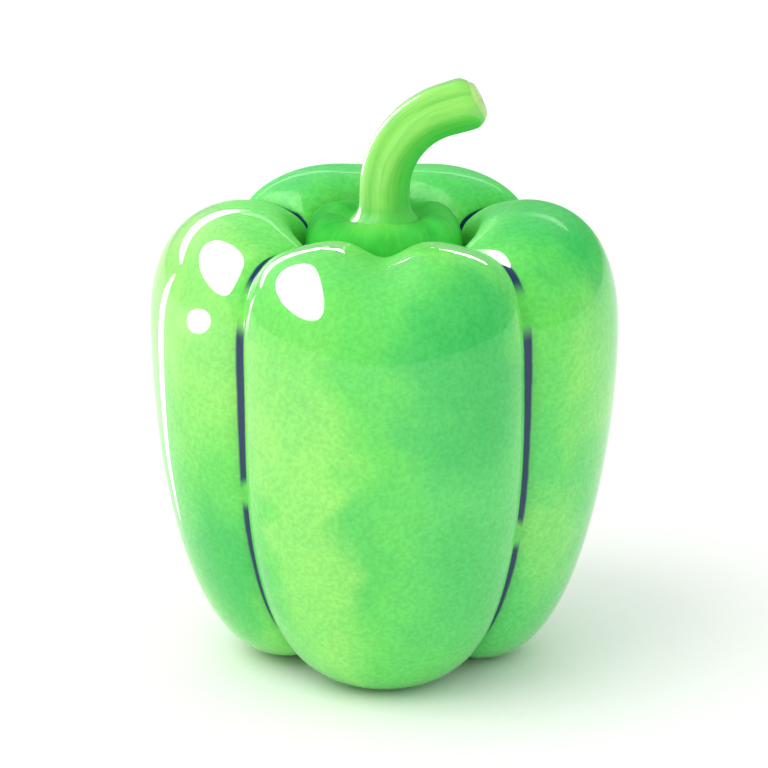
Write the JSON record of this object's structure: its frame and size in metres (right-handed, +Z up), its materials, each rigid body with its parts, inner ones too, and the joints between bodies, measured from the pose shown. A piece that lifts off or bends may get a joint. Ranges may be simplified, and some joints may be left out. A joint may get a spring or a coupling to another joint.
{
  "type": "bell pepper",
  "caption": "Blocky green bell pepper with rounded lobes divided by furrows, a low ribbed calyx in the stem hollow and a thick stem bent to one side; stands on its lobes.",
  "frame": {"origin": "on the resting plane, under the middle of the fruit", "axes": "+Z up from the blossom end to the stem; the front lobe faces -Y; the stem bends towards +X"},
  "size_m": [0.0864, 0.086, 0.1104],
  "materials": {
    "skin": "smooth waxy skin, glossy, bright green with yellow-green and blue-green patches",
    "calyx": "satin, deeper green, finely ridged outwards from the stem",
    "stem": "satin, yellow-green with fine lengthwise streaks and a paler cut end"
  },
  "bodies": {
    "root": {"fruit": "skin", "calyx": "calyx", "stem": "stem"}
  },
  "joints": []
}
